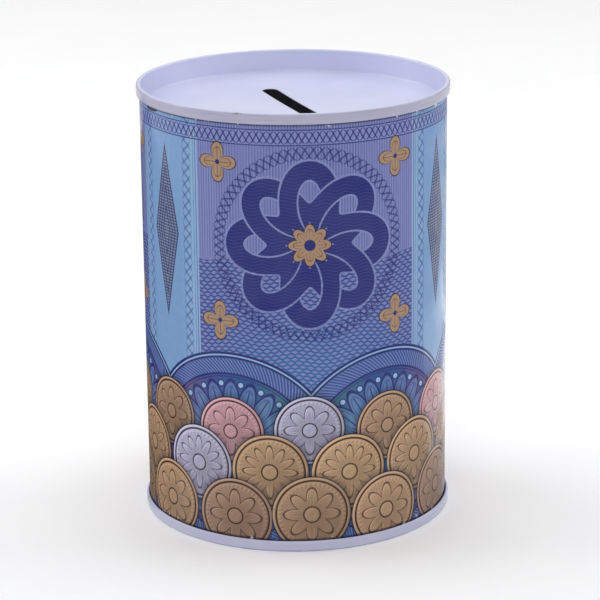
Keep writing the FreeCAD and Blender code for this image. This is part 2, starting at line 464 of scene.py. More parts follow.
sections["lid"] = end_section("lid section", None, end_bends(lid_recess, LID_BEND, LID_SINK), on_top)
base_bends = step_bends(base_recess) + end_bends(base_recess, BASE_BEND)
sections["base"] = end_section("base section", (0, BASE_STEP_HEIGHT - base_recess), base_bends, turned_over)

# %% [markdown]
# ## The flat sheet
#
# The printer's sheet is as wide as the wall is round. Its two edges meet at the back of the tin, where they
# are welded. Places across it are counted from the middle of the front, so that a motif's number says at
# once where it will show.

# %% The flat sheet
LAP_ANGLE = SQUARE - math.tau
FRONT_ANGLE = VIEW_TURN - SQUARE
sheet_width = math.tau * body_radius / MM
sheet_start = (LAP_ANGLE - FRONT_ANGLE) * body_radius / MM
print(f"flat sheet {sheet_width:.1f} mm wide, from {sheet_start:.1f} mm")

# %% [markdown]
# ## The print
#
# The sheet carries a generic ornament in the manner of old engraved paper: pinstripes, basket work, an
# interlaced knot, lace fans and rows of struck rosettes, in blue, violet and tan. An image would be blurred
# close up, so it is drawn as node maths instead, on the flat sheet and in millimetres: `s` runs around the
# tin from the middle of the front and `z` runs up it. The ornament repeats three times around the tin.
# Each layer is painted over the ones before it, as a press lays its inks. A layer is a mask, times a number
# that says how well its ink covers. The inks are a little darker than they look on the tin, because the
# varnish over them adds a faint white sheen.

# %% Inks
VARNISH_SHEEN = 0.016
DARKEST_INK = 0.003


def ink(red, green, blue):
    """A colour given as it looks on a screen, 0 to 255, as the light that Blender works with."""
    def light(part):
        part = part / 255
        return part / 12.92 if part <= 0.04045 else ((part + 0.055) / 1.055) ** 2.4
    return (light(red), light(green), light(blue), 1.0)


def under_varnish(red, green, blue):
    """An ink as it looks on the tin, less the white sheen that the varnish lays over it."""
    return tuple(max(part - VARNISH_SHEEN, DARKEST_INK) for part in ink(red, green, blue)[:3]) + (1.0,)


VIOLET = under_varnish(112, 119, 171)
PALE_VIOLET = under_varnish(140, 147, 196)
SKY = under_varnish(124, 158, 200)
PALE_SKY = under_varnish(150, 184, 216)
CYAN = under_varnish(56, 106, 160)
BLUE = under_varnish(66, 80, 142)
DEEP_BLUE = under_varnish(56, 80, 138)
INDIGO = under_varnish(52, 55, 116)
SOFT_INDIGO = under_varnish(72, 80, 144)
MAUVE = under_varnish(98, 98, 122)
PLUM = under_varnish(118, 88, 124)
GREEN = under_varnish(78, 128, 126)
OCHRE = under_varnish(166, 138, 113)
BROWN = under_varnish(60, 42, 36)
SHADE = under_varnish(36, 34, 52)
TAN = under_varnish(150, 123, 106)
GOLD = under_varnish(178, 148, 117)
SILVER = under_varnish(172, 170, 194)
COPPER = under_varnish(182, 142, 148)
TIN = ink(196, 196, 206)
print("inks are lowered by", VARNISH_SHEEN, "to allow for the varnish")

# %% The net of a material
class Finish(Net):
    """The node tree of a new material."""

    def __init__(self, name):
        self.material = bpy.data.materials.new(name)
        self.material.use_nodes = True
        super().__init__(self.material.node_tree)

    def place(self):
        """A point of the piece, in metres."""
        return self.add("ShaderNodeTexCoord", out="Object")

    def noise(self, scale, detail=3.0):
        """Clouds that are fixed to the piece, as many to a metre as the scale says."""
        return self.add("ShaderNodeTexNoise", {"Vector": self.place(), "Scale": scale, "Detail": detail})

    def brighten(self, colour, light):
        return self.add("ShaderNodeVectorMath", {0: colour, "Scale": light}, operation="SCALE")

    def dress(self, sockets):
        """Feed the sockets of the material's shader, and return the material."""
        self.feed(self.tree.nodes["Principled BSDF"], sockets)
        print(f"{self.material.name}: {len(self.tree.nodes)} nodes")
        return self.material


print("a finish feeds one Principled shader")

# %% Drawing on the flat sheet
class Print(Finish):
    """The net of the print, with the flat sheet's own places and the inks laid so far."""

    def __init__(self, name):
        super().__init__(name)
        self.s, self.z, _ = self.parts(self.add("ShaderNodeUVMap", uv_map="sheet_mm"))
        self.colour = VIOLET

    def within(self, value, edge, soft=0.07):
        """1 where a value is less than its edge."""
        return self.ramp(value, edge + soft, edge - soft)

    def line(self, value, place, width, soft=0.07):
        """1 on a line of some width, where a value passes a place."""
        return self.within(abs(value - place), width / 2, soft)

    def paint(self, share, colour):
        """Lay an ink over what is printed so far."""
        self.colour = self.mix(share, self.colour, colour)

    def saw(self, value, pitch):
        """0 on the middle of each repeat, rising to a half at both of its ends."""
        return (value / pitch).math("PINGPONG", 0.5)

    def wrapped(self, value, pitch):
        """The distance from the middle of a repeat, below 0 on its left."""
        return value.math("WRAP", pitch / 2, -pitch / 2)

    def polar(self, across, up):
        """Distance from a centre, and the angle there."""
        return self.distance(across, up), up.math("ARCTAN2", across)

    def chance(self, number):
        """Three shares that are fixed for each whole number."""
        noise = self.add("ShaderNodeTexWhiteNoise", {"W": number}, out="Color", noise_dimensions="1D")
        return self.parts(noise)

    def plait(self, lift, along, share, colour):
        """Crossing waves between lift -1 and 1, one wave for each whole number along."""
        phase = lift.math("MINIMUM", 1.0).math("MAXIMUM", -1.0).math("ARCCOSINE") / math.tau
        for way in (1.0, -1.0):
            strands = self.saw(phase + along * way, 1 / 3)
            self.paint(self.within(abs(lift), 1.0) * self.within(strands, 0.12, 0.06) * share, colour)

    def flower(self, across, up, petals, inner, outer):
        """How far a point is from the edge of a flower, below 0 inside it, and its distance and angle."""
        far, angle = self.polar(across, up)
        wave = abs((angle * (petals / 2)).math("COSINE"))
        return far - (wave * (outer - inner) + inner), far, angle


print("the print can be drawn with lines, plaits and flowers")

# %% [markdown]
# ### Ground, pinstripes and basket work
#
# The ground is a violet field with sky-blue panels. Fine upright lines of uneven strength fill its upper
# part. Rows of lens-shaped dashes, like basket work, fill the part below them, with a cyan glow low down.

# %% Ground and pinstripes
REPEATS = 3
KNOT_ACROSS = 4.0
FIELD_FADE = (4.0, 30.0)
PANEL_EDGE = 31.0
PANEL_FADE = 5.0
STRIPE_FOOT = 80.0
STRIPE_PITCH = 0.78
repeat_width = sheet_width / REPEATS


def lay_ground(p):
    p.across = p.wrapped(p.s - KNOT_ACROSS, repeat_width)
    p.aside = abs(p.across)
    p.panel = 1.0 - p.within(p.aside, PANEL_EDGE)
    p.field = 1.0 - p.panel
    p.paint(p.ramp(p.aside, *FIELD_FADE) * 0.3, PALE_VIOLET)
    p.paint(p.panel, SKY)
    p.paint(p.panel * p.ramp(p.aside, PANEL_EDGE + PANEL_FADE, PANEL_EDGE) * 0.7, PALE_SKY)


def lay_pinstripes(p):
    """Upright lines, each of its own strength."""
    lines = p.ramp(p.saw(p.across, STRIPE_PITCH), 0.2, 0.36)
    strength = p.chance((p.across / STRIPE_PITCH).math("FLOOR"))[0]
    field = p.field * p.ramp(p.z, STRIPE_FOOT - 1.0, STRIPE_FOOT + 1.0)
    p.paint(field * lines * (strength * 0.5 + 0.3), PALE_VIOLET)
    p.paint(field * (1.0 - lines) * strength * 0.5, BLUE)


print(f"the ornament repeats every {repeat_width:.1f} mm")

# %% Basket work
DASH_LENGTH = 2.1
DASH_PITCH = 1.0
ROW_WAVE = 17.0
ROW_SWING = 0.5
GLOW_HEIGHT = 46.0
GLOW_REACH = (32.0, 22.0)


def lay_basket(p):
    """Lens-shaped dashes, every other row set half a dash along."""
    wave = (p.across * (math.tau / ROW_WAVE)).math("SINE") * ROW_SWING
    row = (p.z + wave) / DASH_PITCH
    shift = row.math("FLOOR").math("MODULO", 2.0) * (DASH_LENGTH / 2)
    along = p.saw(p.across + shift, DASH_LENGTH) * 2.0
    field = p.field * p.within(p.z + wave, STRIPE_FOOT)
    p.paint(field, BLUE)
    glow = p.distance(p.across / GLOW_REACH[0], (p.z - GLOW_HEIGHT) / GLOW_REACH[1])
    p.paint(p.within(p.z, STRIPE_FOOT) * p.ramp(glow, 1.1, 0.3) * 0.8, CYAN)
    dash = p.ramp(along * 0.52 - abs(row.math("FRACT") - 0.5), -0.06, 0.12)
    p.paint(field * dash * 0.7, PALE_VIOLET)


print("basket work of dashes", DASH_LENGTH, "mm long")

# %% [markdown]
# ### The knot
#
# The large dark motif is a ring of two broad strands that wave in and out and cross one another eight
# times, over and under in turn. A strand's distance is measured square to its run, so that it keeps one
# width. Fine waved lines run through its ink, as in an engraving, and a plait of thin waves goes round it.

# %% Knot
KNOT_HEIGHT = 85.0
KNOT_RADIUS = 14.4
KNOT_WAVE = 5.6
KNOT_LOBES = 4.0
STRAND = 4.9
STRAND_GAP = 0.6
HATCH_PITCH = 0.9
HATCH_WAVE = 5.5
HATCH_SWING = 0.3
LACE_RADIUS = 24.6
LACE_WAVE = 1.7
LACE_LOBES = 24.0


def lay_knot(p):
    far, angle = p.polar(p.across, p.z - KNOT_HEIGHT)
    turn = angle * KNOT_LOBES
    wave = turn.math("COSINE") * KNOT_WAVE
    slope = turn.math("SINE") * (KNOT_WAVE * KNOT_LOBES) / far
    square = (slope * slope + 1.0).math("SQRT")
    first = abs(far - KNOT_RADIUS - wave) / square
    second = abs(far - KNOT_RADIUS + wave) / square
    swap = turn.math("SINE").math("GREATER_THAN", 0.0)
    over = second + (first - second) * swap
    under = first + (second - first) * swap
    covered = p.within(over, STRAND / 2 + STRAND_GAP)
    shown = (p.within(under, STRAND / 2) * (1.0 - covered)).math("MAXIMUM", p.within(over, STRAND / 2))
    p.paint(p.within(over.math("MINIMUM", under), STRAND / 2 + STRAND_GAP) * 0.55, PALE_VIOLET)
    p.paint(shown, INDIGO)
    ripple = (p.across * (math.tau / HATCH_WAVE)).math("SINE") * HATCH_SWING
    hatch = p.ramp(p.saw(p.z + ripple, HATCH_PITCH), 0.28, 0.44)
    p.paint(shown * hatch * 0.5, SOFT_INDIGO)
    p.plait((far - LACE_RADIUS) / LACE_WAVE, angle * (LACE_LOBES / math.tau), 0.8, INDIGO)


print("knot", 2 * (KNOT_RADIUS + KNOT_WAVE) + STRAND, "mm across")

# %% Flowers
MIDDLE_PETALS = 8.0
MIDDLE_FLOWER = (3.6, 5.6)
CORNER_PETALS = 4.0
CORNER_FLOWER = (1.5, 5.2)
CORNER_PLACE = (24.6, 21.4)
PETAL_BORDER = 0.3
PETAL_VEIN = 0.16
PETAL_LINE = (-1.3, 0.24)


def lay_flower(p, across, up, petals, inner, outer):
    """An ochre flower with veined petals and a brown edge."""
    edge, far, angle = p.flower(across, up, petals, inner, outer)
    p.paint(p.within(edge, PETAL_BORDER), BROWN)
    p.paint(p.within(edge, 0.0), OCHRE)
    vein = abs((angle * (petals / 2)).math("SINE")) * far
    p.paint(p.within(vein, PETAL_VEIN) * p.within(far, outer * 0.8) * 0.8, BROWN)
    p.paint(p.line(edge, *PETAL_LINE) * 0.7, BROWN)
    p.paint(p.within(far, inner * 0.42), INDIGO)


def lay_flowers(p):
    """One flower in the knot's open middle, and four small ones around it."""
    up = p.z - KNOT_HEIGHT
    lay_flower(p, p.across, up, MIDDLE_PETALS, *MIDDLE_FLOWER)
    lay_flower(p, p.aside - CORNER_PLACE[0], abs(up) - CORNER_PLACE[1], CORNER_PETALS, *CORNER_FLOWER)


print("flowers", 2 * MIDDLE_FLOWER[1], "and", 2 * CORNER_FLOWER[1], "mm across")

# %% [markdown]
# ### Panels and ribbon
#
# The panels between the knots hold a tall spindle of grey-mauve lines between two plaits. A thin plaited
# ribbon runs round the tin under its upper seam.

# %% Panels and ribbon
PANEL_LINES = ((12.0, 0.3), (11.2, 0.18))
PANEL_PLAIT = 8.8
PANEL_PLAIT_HALF = 1.5
PANEL_PLAIT_WAVE = 9.0
SPINDLE_HALF_WIDTH = 5.4
SPINDLE_HALF_HEIGHT = 24.0
SPINDLE_PITCH = 0.8
SPINDLE_RINGS = (0.94, 0.72, 0.5, 0.28)
RIBBON_HEIGHT = 113.6
RIBBON_HALF = 1.6
RIBBON_EDGE = 1.25
RIBBON_WAVES = 16


def lay_panels(p):
    off = repeat_width / 2 - p.aside
    for place, width in PANEL_LINES:
        p.paint(p.line(off, place, width) * 0.8, SOFT_INDIGO)
    p.plait((off - PANEL_PLAIT) / PANEL_PLAIT_HALF, p.z / PANEL_PLAIT_WAVE, 0.6, SOFT_INDIGO)
    up = abs(p.z - KNOT_HEIGHT)
    spindle = up / SPINDLE_HALF_HEIGHT + off / SPINDLE_HALF_WIDTH
    p.paint(p.within(spindle, 1.0, 0.015), MAUVE)
    lines = p.ramp(p.saw(p.z, SPINDLE_PITCH), 0.22, 0.4)
    p.paint(p.within(spindle, SPINDLE_RINGS[0], 0.015) * lines * 0.5, PALE_SKY)
    for place in SPINDLE_RINGS:
        p.paint(p.line(spindle, place, 0.05, 0.02), INDIGO)


def lay_ribbon(p):
    lift = (p.z - RIBBON_HEIGHT) / RIBBON_HALF
    p.paint(p.within(abs(lift), RIBBON_EDGE, 0.05) * 0.5, PALE_VIOLET)
    p.plait(lift, p.across / (repeat_width / RIBBON_WAVES), 0.9, INDIGO)
    for place in (-RIBBON_EDGE, RIBBON_EDGE):
        p.paint(p.line(lift, place, 0.18), INDIGO)


print("spindles", 2 * SPINDLE_HALF_HEIGHT, "mm tall")

# %% [markdown]
# ### Lace fans
#
# A frieze of open fans goes round under the knots. Each is a set of rings about one centre: an edge, a
# hatched band, and long petals that are all copies of one, because the angle is folded into a single cell.

# %% Lace fans
FAN_HEIGHT = 26.0
FAN_RADIUS = 29.0
FAN_CYAN = (26.0, 10.0)
FAN_PLUM = (24.0, 40.0)
FAN_GREEN = (18.0, 4.0)
FAN_EDGE = 27.3
FAN_EDGE_LINE = 28.1
FAN_BAND = 25.2
FAN_BAND_HALF = 2.0
FAN_BAND_LINES = ((23.0, 0.6), (22.2, 0.25))
FAN_HATCHES = 25.0
FAN_PETALS = 22.0
FAN_PETAL_MIDDLE = 15.6
FAN_PETAL_HALF = (2.3, 5.6)
FAN_DOTS = 20.3
FAN_DOT_RADII = (1.05, 0.7)


def lay_fan_rings(p, far, angle):
    """The coloured ground of a fan, its edge and its hatched band."""
    inside = p.within(far, FAN_RADIUS)
    p.paint(inside * 0.95, DEEP_BLUE)
    p.paint(inside * p.ramp(far, *FAN_CYAN) * 0.6, CYAN)
    p.paint(inside * p.ramp(p.aside, *FAN_PLUM) * 0.8, PLUM)
    p.paint(inside * p.ramp(p.aside, *FAN_GREEN) * 0.8, GREEN)
    p.paint(inside * p.ramp(far, FAN_EDGE, FAN_EDGE + 0.1), INDIGO)
    p.paint(p.line(far, FAN_EDGE_LINE, 0.4), PALE_SKY)
    band = p.within(abs(far - FAN_BAND), FAN_BAND_HALF)
    hatch = p.ramp(p.saw(angle * FAN_HATCHES + far * 0.8, 1.0), 0.2, 0.36)
    p.paint(band, SOFT_INDIGO)
    p.paint(band * hatch * 0.6, SKY)
    for place, width in FAN_BAND_LINES:
        p.paint(p.line(far, place, width), INDIGO)


def lay_fans(p):
    """Fans side by side, with petals and dots inside their bands."""
    fan = p.wrapped(p.s - KNOT_ACROSS - repeat_width / 4, repeat_width / 2)
    far, angle = p.polar(p.z - FAN_HEIGHT, fan)
    lay_fan_rings(p, far, angle)
    across = p.wrapped(angle, math.tau / FAN_PETALS) * far
    petal = p.distance(across / FAN_PETAL_HALF[0], (far - FAN_PETAL_MIDDLE) / FAN_PETAL_HALF[1])
    p.paint(p.within(petal, 1.0, 0.04) * 0.4, SKY)
    p.paint(p.line(petal, 1.0, 0.2, 0.04), INDIGO)
    p.paint(p.line(petal, 0.68, 0.1, 0.04) * 0.8, SOFT_INDIGO)
    p.paint(p.within(abs(across), 0.16) * p.within(petal, 0.6, 0.04), INDIGO)
    between = p.wrapped(angle + math.pi / FAN_PETALS, math.tau / FAN_PETALS) * far
    dot = p.distance(between, far - FAN_DOTS)
    for radius, colour in zip(FAN_DOT_RADII, (INDIGO, PALE_SKY)):
        p.paint(p.within(dot, radius), colour)


print("fans", FAN_RADIUS, "mm in radius")

# %% [markdown]
# ### Rows of rosettes
#
# The foot of the sheet is covered by three rows of struck rosettes that overlap like scales. They are flat
# ink, drawn as an engraver draws a struck disc: dark lines round each raised part, fine hatching in the
# ground, and a little light and shade. The height of the relief is worked out twice, a little apart, and the
# difference is its light and shade. The relief is a group of its own because it is used so often.

# %% Relief of a rosette
RIM = 0.92
BEADS = 44
BEAD_RING = 0.83
PETAL_ROOT = 0.36
PETAL_REACH = 0.36
BOSS = 0.2
ENGRAVED = 7
GROUND_PITCH = 0.7


def rosette_tree():
    """Height of a struck rosette, with a rim, a ring of beads, petals and a boss, and its dark lines."""
    net, given = start_tree("rosette", "ShaderNodeTree", {
        "Across": "Float", "Up": "Float", "Radius": "Float", "Petals": "Float"},
        {"Height": "Float", "Lines": "Float"})
    across, up, radius, petals = given.values()
    far = net.distance(across, up)
    angle = up.math("ARCTAN2", across)
    share = far / radius
    rim = net.ramp(share, RIM, RIM + 0.02) * net.ramp(share, 1.0, 0.98)
    bead_turn = (angle * (BEADS / math.tau)).math("FRACT") - 0.5
    bead_across = bead_turn * far * (math.tau / BEADS)
    bead = net.ramp(net.distance(bead_across, far - radius * BEAD_RING), 0.5, 0.3)
    half_turn = angle * petals * 0.5
    tip = abs(half_turn.math("COSINE")) * PETAL_REACH + PETAL_ROOT
    petal = net.ramp(share, tip, tip - 0.05)
    vein = net.ramp(abs(half_turn.math("SINE")) * far, 0.12, 0.4)
    boss = net.ramp(share, BOSS, BOSS - 0.05)
    height = rim + bead * 0.6 + petal * (vein * 0.4 + 0.6) + boss * 0.6

    rim_line = net.ramp(abs(share - (RIM - 0.01)), 0.034, 0.018)
    petal_line = net.ramp(abs(share - tip), 0.04, 0.016) * 0.9
    boss_line = net.ramp(abs(share - (BOSS + 0.01)), 0.03, 0.012)
    engraved = net.ramp((angle * petals * (ENGRAVED / math.tau)).math("PINGPONG", 0.5), 0.3, 0.42)
    engraved = engraved * net.ramp(share, 0.6, 0.35) * net.ramp(share, BOSS + 0.02, BOSS + 0.04) * 0.8
    hatched = net.ramp(((across + up) / GROUND_PITCH).math("PINGPONG", 0.5), 0.3, 0.42)
    hatched = hatched * net.ramp(share, tip + 0.02, tip + 0.04) * net.ramp(share, 0.76, 0.74) * 0.6
    lines = rim_line
    for more in (petal_line, boss_line, engraved, hatched):
        lines = lines.math("MAXIMUM", more)
    net.feed(net.tree.nodes.new("NodeGroupOutput"), {"Height": height, "Lines": lines})
    return net.tree


rosette = rosette_tree()
print("rosette relief:", len(rosette.nodes), "nodes")

# %% Rows of rosettes
ROSETTES = 4
ROSETTE_ROWS = ((33.5, 9.4, 0.0, 8.0), (21.8, 10.4, 0.5, 12.0), (9.4, 10.6, 0.0, 8.0))
ROSETTE_SWING = (1.2, 1.8)
ROSETTE_SHADOW = (2.2, 0.6)
ROSETTE_EDGE = 0.35
SILVER_FROM = 0.6
COPPER_FROM = 0.84
METAL_STEP = 0.01
RELIEF_STEP = 0.28
rosette_pitch = repeat_width / ROSETTES


def relief(p, across, up, radius, petals):
    """The height and the dark lines of a rosette at a place."""
    places = {"Across": across, "Up": up, "Radius": radius, "Petals": petals}
    return p.outputs(p.add("ShaderNodeGroup", places, node_tree=rosette))


def lay_rosettes(p, height, radius, shift, petals):
    """One row of rosettes, each in its own metal and a little out of line."""
    along = (p.s - KNOT_ACROSS) / rosette_pitch + (shift + 0.5)
    number = along.math("FLOOR")
    sideways, upwards, metal = p.chance(number.math("FLOORED_MODULO", ROSETTES * REPEATS) + height)
    across = (along - number - 0.5) * rosette_pitch + (sideways - 0.5) * ROSETTE_SWING[0]
    up = p.z - height + (upwards - 0.5) * ROSETTE_SWING[1]
    far = p.distance(across, up)
    p.paint(p.ramp(far, radius + ROSETTE_SHADOW[0], radius - ROSETTE_SHADOW[1]) * 0.75, SHADE)
    p.paint(p.within(far, radius + ROSETTE_EDGE) * 0.8, SHADE)

    colour = p.mix(sideways, TAN, GOLD)
    for start, tone in ((SILVER_FROM, SILVER), (COPPER_FROM, COPPER)):
        colour = p.mix(p.ramp(metal, start, start + METAL_STEP), colour, tone)
    here, lines = relief(p, across, up, radius, petals)
    beside = relief(p, across - RELIEF_STEP, up + RELIEF_STEP, radius, petals)[0]
    light = (up - across * 0.6) * (0.24 / radius) + (here - beside).math("MAXIMUM", 0.0) * 0.3
    colour = p.brighten(colour, light + upwards * 0.2 + 0.92)
    shade = p.ramp(beside - here, 0.0, 0.7) * 0.4
    colour = p.mix(shade.math("MAXIMUM", lines * 0.95), colour, BROWN)
    p.paint(p.within(far, radius), colour)


print(ROSETTES * REPEATS, "rosettes in each of", len(ROSETTE_ROWS), "rows")

# %% [markdown]
# ### The printed sheet
#
# All layers together. At the welded lap the ink stops short on both edges, because a weld would burn it, so
# a bright strip of bare tin runs up the back. The inside of the tin is bare too. Close to the seams the ink
# is chipped here and there. The wall is painted darker along each seam as shade, and one dark spot under the
# lid's seam is the painted shade of a gap where the seam's edge lifts. A clear varnish lies over all: it
# is a coat on the shader, smooth above the very shallow unevenness of the rolled wall.

# %% Wear of the print
PRINT_MARGIN = 2.2
# How far the print is painted darker along each seam, as painted shade.
SEAM_SHADE_REACH = 0.7
CHIP_REACH = (1.2, 0.5)
# Place and size of a dark spot under the lid's seam: the painted shade of a gap under its lifted edge.
GAP_SHADE_PLACE = (-46.5, 116.7)
GAP_SHADE_SIZE = (3.4, 0.8)
FACE_SPLIT = 0.001 * MM
wall_middle = body_radius - BODY_GAUGE / 2


def worn_and_shaded_print(p, colour):
    """Print with its bare strip and chips, painted shade by the seams and in a gap, and where it is metal.
    """
    side = abs(p.wrapped(p.s - sheet_start, sheet_width))
    x, y, _ = p.parts(p.place())
    inside = p.within(p.distance(x, y), wall_middle, FACE_SPLIT)
    bare = p.within(side, PRINT_MARGIN).math("MAXIMUM", inside)
    middle = tin_height / (2 * MM)
    to_seam = middle - SEAM_DEPTH / MM - abs(p.z - middle)
    # Painted shade: the print gets darker close to each seam, where the seam overhangs the wall.
    seam_shade = p.ramp(to_seam, SEAM_SHADE_REACH, SEAM_SHADE_REACH * 0.4) * (p.noise(300.0) * 0.5 + 0.45)
    # Painted shade: one dark spot under the lid's seam, where a gap lies under its lifted edge.
    gap_shade = p.within(p.distance((p.s - GAP_SHADE_PLACE[0]) / GAP_SHADE_SIZE[0],
                               (p.z - GAP_SHADE_PLACE[1]) / GAP_SHADE_SIZE[1]), 1.0)
    chips = p.ramp(p.noise(520.0), 0.64, 0.66) * p.ramp(to_seam, *CHIP_REACH) * (1 - gap_shade)
    # The painted shade lies over the print and its bare strip, and the pale chips lie over that.
    shaded_print = p.mix(seam_shade.math("MAXIMUM", gap_shade), p.mix(bare, colour, TIN), SHADE)
    return p.mix(chips, shaded_print, TIN), bare.math("MAXIMUM", chips * 0.5)


print("ink stops", PRINT_MARGIN, "mm from the sheet's edges")

# %% Printed tin
WALL_WAVES = 0.05 * MM


def print_colour(p):
    """All inks of the sheet, one over the other."""
    for lay in (lay_ground, lay_pinstripes, lay_basket, lay_panels, lay_ribbon, lay_knot, lay_flowers,
                lay_fans):
        lay(p)
    for row in ROSETTE_ROWS:
        lay_rosettes(p, *row)
    return p.brighten(p.colour, p.noise(900.0) * 0.16 + 0.92)


def printed_tin():
    """The finish of the body: print under a clear varnish that is worn thin in places."""
    p = Print("printed tin")
    colour, metal = worn_and_shaded_print(p, print_colour(p))
    bump = p.add("ShaderNodeBump", {"Height": p.noise(34.0, 2.0), "Strength": 0.5, "Distance": WALL_WAVES})
    return p.dress({
        "Base Color": colour, "Metallic": metal, "Normal": bump,
        "Roughness": p.noise(60.0, 4.0) * 0.16 + 0.26, "Specular IOR Level": 0.0,
        "Coat Weight": 0.6 - p.ramp(p.noise(110.0, 6.0), 0.45, 0.7) * 0.3, "Coat Roughness": 0.1})


print_finish = printed_tin()

# %% [markdown]
# ### Lacquer of the ends
#
# Both ends are stamped from sheet that was coated pale lilac before. The seaming rollers rub the coat thin
# and grey on the outside of the seams and leave fine rings there. On the base this grey is only half as
# strong, a painted light that makes the lower seam paler. It is chipped along the seam's corners, scuffed
# where the tin stands, and the punched edge of the slot is bare. The crevice between seam and wall is
# painted darker as shade. All of this goes by a point's distance from the axis, its height, and its
# distance from the slot.

# %% Places on the ends
top = tin_height / MM
seam = seam_radius / MM
wall = body_radius / MM


class Coat(Finish):
    """The net of the lacquer, with a point's place on the tin in millimetres."""

    def __init__(self, name):
        super().__init__(name)
        x, y, self.height = [part / MM for part in self.parts(self.place())]
        self.radius = self.distance(x, y)
        self.to_middle = abs(self.height - top / 2)
        self.on_lid = self.ramp(self.height, top / 2, top / 2 + 1.0)
        end = (abs(y) - (SLOT_LENGTH - SLOT_WIDTH) / (2 * MM)).math("MAXIMUM", 0.0)
        self.off_slot = self.distance(x, end) - SLOT_WIDTH / (2 * MM)

    def close_to(self, edge, value, reach):
        """0 where a value is the first reach below an edge, 1 at the second reach and beyond."""
        return self.ramp(value, edge - reach[0], edge - reach[1])

    def streaks(self, stretch, scale):
        """Noise that is drawn out along some axes."""
        drawn = self.add("ShaderNodeVectorMath", {0: self.place(), 1: stretch}, operation="MULTIPLY")
        return self.add("ShaderNodeTexNoise", {"Vector": drawn, "Scale": scale, "Detail": 2.0})


print(f"seams end at {seam:.2f} mm from the axis, the wall at {wall:.2f} mm")

# %% Wear of the lacquer
CORNER_ACROSS = (0.9, 0.3)
CORNER_DOWN = (0.8, 0.2)
FOOT_SCUFFS = (0.3, 0.05)
SCRATCH_REACH = (7.0, 0.5)
SCRATCH_DEPTH = (9.0, 8.0)
SCRATCH_RADIUS = (26.0, 22.0)
CUT_EDGE = (0.1, 0.04)
# Where the crevices are painted darker as shade: how deep, from which radius, and how far onto the seam.
CREVICE_DEPTH = (2.3, 2.8)
CREVICE_START = (0.1, 0.0)
CREVICE_WIDTH = 0.6
CREVICE_FADE = 0.3
LID_CREVICE_LESS = 0.25


def bare_places(c):
    """Chipped corners of the seams, scuffs on the foot, scratches by the slot, and the slot's cut edge."""
    corner = c.close_to(seam, c.radius, CORNER_ACROSS) * c.close_to(top / 2, c.to_middle, CORNER_DOWN)
    chips = c.ramp(c.noise(420.0, 4.0) + corner * 0.06, 0.72, 0.75) * corner
    foot = c.ramp(c.height, *FOOT_SCUFFS) * c.ramp(c.noise(260.0, 4.0), 0.45, 0.62)
    scratch = c.ramp(c.streaks((14.0, 1.0, 1.0), 60.0), 0.68, 0.72) * c.ramp(c.off_slot, *SCRATCH_REACH)
    scratch = scratch * c.close_to(top, c.height, SCRATCH_DEPTH) * c.ramp(c.radius, *SCRATCH_RADIUS) * 0.35
    cut = c.ramp(c.off_slot, *CUT_EDGE) * c.on_lid
    return chips.math("MAXIMUM", foot).math("MAXIMUM", scratch).math("MAXIMUM", cut)


def painted_crevice_shade(c):
    """Painted shade in the crevice between each seam and the wall."""
    crevice = c.close_to(top / 2, c.to_middle, CREVICE_DEPTH) * c.close_to(wall, c.radius, CREVICE_START)
    edge = c.on_lid * LID_CREVICE_LESS + (seam - CREVICE_WIDTH)
    return crevice * c.ramp(c.radius, edge + CREVICE_FADE, edge) * 0.8


print("scratches reach", SCRATCH_REACH[0], "mm from the slot")

# %% End lacquer
LILAC = ink(199, 203, 232)
PALE_LILAC = ink(207, 209, 236)
RUBBED = ink(159, 155, 176)
BARE = ink(150, 150, 158)
RUBBED_REACH = (0.5, 0.05)
LACQUER_WAVES = 0.03 * MM


def end_lacquer():
    """The finish of both ends: pale lacquer, seams worn grey, bare places, painted shade in the crevices."""
    c = Coat("end lacquer")
    colour = c.mix(c.ramp(c.noise(45.0), 0.35, 0.65), LILAC, PALE_LILAC)
    band = c.close_to(seam, c.radius, RUBBED_REACH)
    rings = c.streaks((0.05, 0.05, 1.0), 2600.0)
    # Painted light: the worn grey is half as strong at the base as at the top, so the lower seam is painted
    # paler.
    rubbing_and_painted_light = c.ramp(c.height, 0.0, top) * 0.5 + 0.5
    colour = c.mix(band * (rings * 0.5 + 0.5) * rubbing_and_painted_light, colour, RUBBED)
    bare = bare_places(c)
    uneven = c.noise(140.0, 2.0) * 0.4 + rings * band * 0.5 - bare * 0.6
    bump = c.add("ShaderNodeBump", {"Height": uneven, "Strength": 0.35, "Distance": LACQUER_WAVES})
    return c.dress({
        # The crevices are painted darker as shade, over the lacquer and its bare places.
        "Base Color": c.mix(painted_crevice_shade(c), c.mix(bare, colour, BARE), SHADE), "Metallic": bare * 0.8,
        "Roughness": c.noise(90.0, 4.0) * 0.08 + 0.32 + bare * 0.1, "Normal": bump,
        "Specular IOR Level": 0.2, "Coat Weight": 0.5, "Coat Roughness": 0.15})


lacquer_finish = end_lacquer()

# %% [markdown]
# ## Making the pieces
#
# A finished piece is a plain mesh: the tree is evaluated once and its result kept. The body starts at its
# welded lap, at the back of the tin. The print is laid out from the middle of its front, which faces the
# camera.

# %% Settle a piece
STEPS_AROUND = 192
SHARP_ANGLE = math.radians(35)


def settle(piece):
    """Replace a piece by what its modifiers make of it, as one plain mesh with its faces outwards."""
    scene.collection.objects.link(piece)
    evaluated = piece.evaluated_get(bpy.context.evaluated_depsgraph_get())
    mesh = bpy.data.meshes.new_from_object(evaluated)
    finish = mesh.materials[-1]
    mesh.materials.clear()
    mesh.materials.append(finish)
    mesh.polygons.foreach_set("material_index", [0] * len(mesh.polygons))
    piece.modifiers.clear()
    piece.data = mesh
    work = bmesh.new()
    work.from_mesh(mesh)
    bmesh.ops.recalc_face_normals(work, faces=work.faces)
    work.to_mesh(mesh)
    work.free()
    mesh.shade_smooth()
    mesh.set_sharp_from_angle(angle=SHARP_ANGLE)
    mesh.name = piece.name


